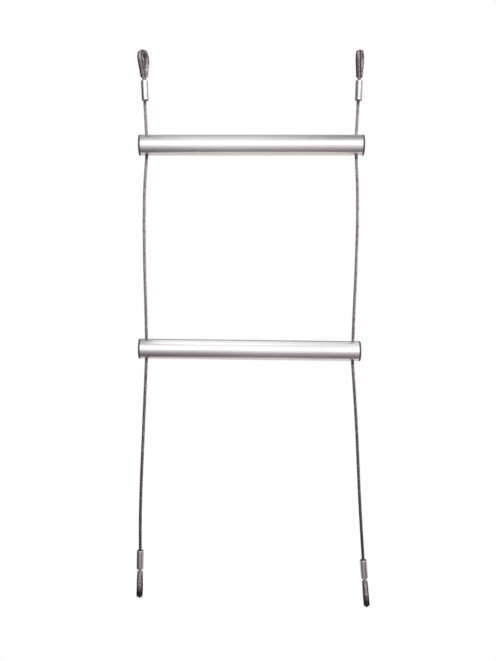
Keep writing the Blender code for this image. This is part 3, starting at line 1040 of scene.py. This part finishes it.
# A laid rope along even points, as one mesh of strands. The binormal is the line's plane normal,
# startAlong carries the lay on from the piece before, and squeeze narrows it ring by ring. Spare
# rings before and after the piece only turn the normals at its cuts the way they turn next door.
def laidRope(name, line, tangents, binormal, startAlong, squeeze, paintedShade, spare=(0, 0)):
    first = np.cross(np.array(binormal, float)[None, :], tangents)
    first /= np.linalg.norm(first, axis=1)[:, None]
    second = np.cross(tangents, first)
    along = startAlong + distancesOf(line)
    kept = slice(spare[0], len(line) - spare[1])
    points, faces, crests, normals = [], [], [], []
    for strand in range(rope["strands"] + 1):
        across, aside, crest = strandRings(strand, along, paintedShade)
        across = (across * squeeze[:, None])[:, :, None]
        aside = (aside * squeeze[:, None])[:, :, None]
        rings = line[:, None, :] + across * first[:, None, :] + aside * second[:, None, :]
        around = np.roll(rings, -1, axis=1) - np.roll(rings, 1, axis=1)
        outwards = np.cross(around, np.gradient(rings, axis=0))[kept]
        outwards /= np.linalg.norm(outwards, axis=2, keepdims=True)
        outwards[1:-1] = 0
        rings, crest = rings[kept], crest[kept]
        count = rings.shape[1]
        index = sum(len(p) for p in points) + np.arange(len(rings) * count).reshape(len(rings), count)
        beside = np.roll(index, -1, axis=1)
        quads = np.stack([index[:-1], beside[:-1], beside[1:], index[1:]], axis=-1).reshape(-1, 4)
        faces += [*quads.tolist(), index[0, ::-1].tolist(), index[-1].tolist()]
        points.append(rings.reshape(-1, 3))
        crests.append(crest.reshape(-1))
        normals.append(outwards.reshape(-1, 3))
    mesh = bpy.data.meshes.new(name)
    mesh.from_pydata(np.concatenate(points).tolist(), [], faces)
    piece = linked(bpy.data.objects.new(name, mesh))
    store(piece, "crest", np.concatenate(crests))
    mesh.shade_smooth()
    corners = np.empty(len(mesh.loops), int)
    mesh.loops.foreach_get("vertex_index", corners)
    turned = np.concatenate(normals)[corners]
    # the cuts stay flat
    for face in mesh.polygons:
        if len(face.vertices) > 4:
            face.use_smooth = False
            turned[face.loop_start:face.loop_start + face.loop_total] = 0
    mesh.normals_split_custom_set(turned.tolist())
    return piece


# Painted shade on the lower crowns, darker towards the bottom, as a share at each height: full up to
# the first height, none above the second.
underShade = {"heights": (0.009, 0.018), "level": 0.9}


def underShadeAt(heights):
    full, none = underShade["heights"]
    heights = np.array(heights)
    return underShade["level"] * np.clip((none - heights + min(heights)) / (none - full), 0, 1)


# The lower thimbles take painted shade at their bottoms.
for side in sides:
    thimble = eyePieces["lower" + side.capitalize()][1]
    store(thimble, "underShade", underShadeAt([point.co.z for point in thimble.data.vertices]))


# The loop in an eye, pressed narrow where its legs lie side by side.
def makeLoop(end, side):
    name = end + side.capitalize()
    place = eyePlace(end, side)
    route = loopRoute()
    route[0] = (route[0][0], pivotOffset + rope["insideFerrule"] + loopShape["overlap"])
    route[-1] = (route[-1][0], pivotOffset - rope["cutEnd"])
    flat = spaced([(across, along, 0) for across, along in route])
    ease(flat, loopShape["easing"])
    line = np.array([place @ Vector((0, eye["legOffset"] - across, along)) for across, along, _ in flat])
    squeeze = np.clip(np.abs(flat[:, 0]) / rope["radius"], 0, 1)
    squeeze[flat[:, 1] > crownCentre] = 1
    normal = place.to_3x3() @ Vector((1, 0, 0))
    # Painted shade at the loop's two ends by the ferrule.
    paintedShade = paintedShadeNear(line, [line[0], line[-1]])
    # The lower loops also take painted shade at their bottoms.
    if end == "lower":
        paintedShade = np.maximum(paintedShade, underShadeAt(line[:, 2]))
    loop = laidRope(f"{name}Loop", line, tangentsOf(line), normal, 0.0, squeeze, paintedShade)
    finishPiece(loop, f"{name}Loop", "rope_steel", eyeBody[name], [f"{end}_{side}_eye_wire"])
    eyePieces[name].append(loop)


# Where the rope crosses joints: a short and a long distance from each hinge, listed with each piece
# below; no bend is made from them.
bendReach = {"short": 0.005, "long": 0.0065}


# One rope from inside its upper ferrule to inside its lower one, and the six pieces it is cut into.
def makeRope(side):
    upperMouth, lowerMouth = ropeMouth("upper", side), ropeMouth("lower", side)
    upperTop, upperMiddle, upperBottom = through("upper", side)
    lowerTop, lowerMiddle, lowerBottom = through("lower", side)
    inside = Vector((0, 0, pivotOffset + rope["insideFerrule"]))
    knots = [
        [eyePlace("upper", side) @ inside, upperMouth],
        [upperMouth, upperTop],
        [upperTop, upperBottom],
        bowed(upperBottom, lowerTop, hanging["spanBow"][side]),
        [lowerTop, lowerBottom],
        bowed(lowerBottom, lowerMouth, hanging["tailBow"][side]),
        [lowerMouth, eyePlace("lower", side) @ inside],
    ]
    dense = []
    for stretch in knots:
        dense += smoothLine(stretch)[(1 if dense else 0):]
    line = spaced(dense)
    ease(line, rope["easing"])
    tangents = tangentsOf(line)
    # Painted shade where the rope leaves the ferrules and below the rungs.
    paintedShade = paintedShadeNear(line, [upperMouth, lowerMouth, upperBottom, lowerBottom])
    # More painted shade on the rope towards the bottom.
    unshaded, shaded = rope["shaded"]
    paintedShade = np.maximum(paintedShade, rope["bottomShade"] * np.clip((unshaded - line[:, 2]) / (unshaded - shaded), 0, 1))
    along = distancesOf(line)
    fromEnd = np.minimum(along, along[-1] - along)
    narrow = eye["legOffset"] / rope["radius"]
    squeeze = narrow + (1 - narrow) * rising(fromEnd, rope["insideFerrule"] - rope["step"], pivotOffset)

    def nearest(point):
        return int(np.argmin(np.linalg.norm(line - np.array(point), axis=1)))

    tail = f"lower_{side}_wire"
    short, long = Vector((0, 0, bendReach["short"])), Vector((0, 0, bendReach["long"]))
    between = [
        (upperMouth + upperTop) / 2,
        upperMiddle,
        (upperBottom + lowerTop) / 2,
        lowerMiddle,
        (lowerBottom + lowerMouth) / 2,
    ]
    cuts = [0, *map(nearest, between), len(line) - 1]
    # name, bodies that it joins, its hinge, how far the bend reaches, and the nodes it stands for
    pieces = [
        ("Lead", "top_eyes", "upper_wires", upperMouth, short, [f"upper_{side}_wire"]),
        ("LeadEnd", "upper_wires", "upper_rung", upperTop, short, [f"upper_rung_{side}_wire"]),
        ("SpanTop", "upper_rung", "span_wires", upperBottom, long, [f"{side}_span_wire"]),
        ("SpanEnd", "span_wires", "lower_rung", lowerTop, long, [f"lower_rung_{side}_wire"]),
        ("TailTop", "lower_rung", tail, lowerBottom, long, [tail]),
        ("TailEnd", tail, f"lower_{side}_eye", lowerMouth, long, []),
    ]
    for (part, first, second, hinge, reach, nodes), a, b in zip(pieces, cuts, cuts[1:]):
        name = f"{side}{part}"
        stretch = line[a:b + 1]
        spare = (min(a, 1), min(len(line) - 1 - b, 1))
        near = slice(a - spare[0], b + 1 + spare[1])
        piece = laidRope(
            name, line[near], tangents[near], (0, 1, 0), along[near][0], squeeze[near], paintedShade[near], spare
        )
        finishPiece(piece, name, "rope_steel", None, nodes)
        hinge + reach
        hinge - reach
        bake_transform(piece)
        last = part == "TailEnd"


for side in sides:
    makeLoop("upper", side)
    makeLoop("lower", side)
    makeRope(side)
print("ropes made")


# The floor is white paper under and behind the ladder. In front of it lies the studio's own dark
# floor, paler with distance, which the rungs mirror as a band. On the left a flag darkens it, up to
# where the flag ends. The camera sees white throughout, metal sees the paper nearly as white, and the
# far floor in front as a little brighter.
studio = {
    "floorDrop": -0.78,
    "floorSize": 14.0,
    "roughness": 0.9,
    "paper": colour(0.95, 0.80, 0.74),
    "darkMiddle": colour(0.36, 0.325, 0.325),
    "darkSides": colour(0.110, 0.088, 0.150),
    "sideways": (0.0, 0.40),
    "sidewaysCentre": 0.03,
    "sidewaysLean": 0.07,
    "sidewaysLoss": 0.37,
    "paperEdge": (-0.02, 0.08),
    "paperSlant": 0.4,
    "paling": (0.3, 2.2),
    "palingPower": 0.7,
    "mirrored": 0.5,
    "farWhite": (0.1, 2.0),
    "farGlow": (0.9, 1.5),
    "farGlowLevel": 0.17,
    "flag": (0.22, 0.80),
    "flagSpread": 0.1,
    "beyondFlag": (1.0, 1.3),
    "flagColour": colour(0.075, 0.056, 0.080),
    "behindHue": colour(1.0, 0.93, 0.90),
    "frontHue": colour(1.0, 0.975, 1.0),
}
white = colour(1, 1, 1)

bpy.ops.mesh.primitive_plane_add(size=studio["floorSize"], location=(0, 0, studio["floorDrop"]))
floor = bpy.context.object
floor.name = "floor"
applyTransform()


def makeFloorFinish():
    finish = newFinish("floorPaper")
    across, behind, _ = finish.parts(finish.place())
    ahead = 0 - behind
    onPaper = finish.ranged(behind + across.atMost(0) * studio["paperSlant"], *studio["paperEdge"])
    paling = finish.ranged(ahead, *studio["paling"]) ** studio["palingPower"]
    leaned = across - behind * studio["sidewaysLean"] - studio["sidewaysCentre"]
    aside = finish.ranged(leaned.size(), *studio["sideways"])
    dark = finish.mixed(aside, studio["darkMiddle"], studio["darkSides"])
    plain = finish.mixed(onPaper.atLeast(paling), dark, studio["paper"])
    spread = 0 - across - behind.size() * studio["flagSpread"]
    flagged = finish.ranged(spread, *studio["flag"]) - finish.ranged(0 - across, *studio["beyondFlag"])
    finish.set(
        Base_Color=finish.mixed(flagged, plain, studio["flagColour"]), Roughness=studio["roughness"]
    )
    camera, glossy = finish.rays()
    mirroredHue = finish.mixed(onPaper, studio["frontHue"], studio["behindHue"])
    farGlow = finish.ranged(ahead, *studio["farGlow"]) * studio["farGlowLevel"]
    bright = {"Color": finish.mixed(camera, mirroredHue, white), "Strength": 1 + glossy * farGlow}
    shining = finish.node("ShaderNodeEmission", None, bright)
    farWhite = finish.ranged(ahead, *studio["farWhite"]) * (1 - aside * studio["sidewaysLoss"])
    shown = camera.atLeast(glossy * farWhite.atLeast(onPaper * studio["mirrored"]) * (1 - flagged))
    base = Signal(finish, finish.shader.outputs[0])
    seen = finish.node("ShaderNodeMixShader", None, {0: shown, 1: base, 2: shining})
    finish.feed(finish.tree.nodes["Material Output"].inputs["Surface"], seen)
    floor.data.materials.append(finish.owner)


makeFloorFinish()

# Soft light from all round: brightest in front, where a large diffuser glows above the camera, with
# a narrow light overhead that leans forwards. It is dark low on the left, where a black flag stands,
# and light again above the flag.
softLight = {
    "middle": 0.60,
    "front": 0.34,
    "back": 0.30,
    "overhead": 0.76,
    "overheadCentre": -0.025,
    "overheadWidth": (0.13, 0.0),
    "overheadLean": 0.35,
    "overheadRise": (0.0, 0.3),
    "ceiling": 0.28,
    "backdrop": (0.16, 0.02),
    "backdropLevel": 0.7,
    "flag": (-0.75, -0.40),
    "flagLevel": 0.18,
    "aboveFlag": (0.24, 0.31),
    "aboveLevel": 0.9,
    "diffuser": (-0.01, -0.955, 0.295),
    "diffuserReach": (0.66, 0.16),
    "diffuserLevel": 0.75,
    "mirrored": 0.12,
    "mirroredBehind": (0.0, 0.5),
    "colour": colour(1.0, 0.985, 0.98),
}


def makeSoftLight():
    scene.world = bpy.data.worlds.new("softLight")
    light = Finish(scene.world, "Background")
    direction = light.place(0)
    right, depth, height = light.parts(direction)
    above = light.ranged(height, *softLight["aboveFlag"]) * softLight["aboveLevel"]
    flagged = light.ranged(right, *softLight["flag"], softLight["flagLevel"], 1.0).atLeast(above)
    apart = {0: direction, 1: softLight["diffuser"]}
    away = light.node("ShaderNodeVectorMath", {"operation": "DISTANCE"}, apart, 1)
    glow = light.ranged(away, *softLight["diffuserReach"]) * softLight["diffuserLevel"]
    aside = (right - softLight["overheadCentre"]).size()
    band = light.ranged(aside, *softLight["overheadWidth"]) * softLight["overhead"]
    upwards = (height - depth * softLight["overheadLean"]).atLeast(0)
    upwards = upwards * light.ranged(height, *softLight["overheadRise"])
    overhead = (band - softLight["ceiling"]) * upwards ** 2
    front = softLight["middle"] - depth.atMost(0) * softLight["front"]
    level = (front - depth.atLeast(0) * softLight["back"] + overhead) * flagged + glow
    camera, glossy = light.rays()
    low = light.ranged(height, *softLight["backdrop"]) * softLight["backdropLevel"]
    behind = light.ranged(depth, *softLight["mirroredBehind"])
    shown = camera.atLeast(glossy * behind * low.atLeast(softLight["mirrored"]))
    seen = light.node("ShaderNodeMix", {"data_type": "FLOAT"}, {0: shown, 2: level, 3: 1.0})
    light.set(Strength=seen, Color=light.mixed(camera, softLight["colour"], white))


makeSoftLight()


def areaLamp(name, look):
    lamp = linked(bpy.data.objects.new(name, bpy.data.lights.new(name, "AREA")))
    lamp.data.energy = look["power"]
    lamp.location = look["place"]
    return lamp


# One large softbox, in front above and to the right.
softbox = {"place": (1.35, -1.35, 1.1), "size": 1.3, "power": 17.0, "aim": (0.0, 0.0, -0.3)}
box = areaLamp("softbox", softbox)
box.data.size = softbox["size"]
box.rotation_euler = (Vector(softbox["place"]) - Vector(softbox["aim"])).to_track_quat("Z", "Y").to_euler()

# A faint strip light between the rungs, which shines on the lower rung's tube alone.
stripLight = {"place": (0.05, -0.004, -0.26), "size": (0.37, 0.128), "power": 0.076}
strip = areaLamp("stripLight", stripLight)
strip.data.shape = "RECTANGLE"
strip.data.size, strip.data.size_y = stripLight["size"]
strip.visible_camera = False
receivers = bpy.data.collections.new("stripLightReceivers")
receivers.objects.link(bpy.data.objects["lowerRungTube"])
strip.light_linking.receiver_collection = receivers

scene.view_settings.view_transform = "Standard"
print("studio made")
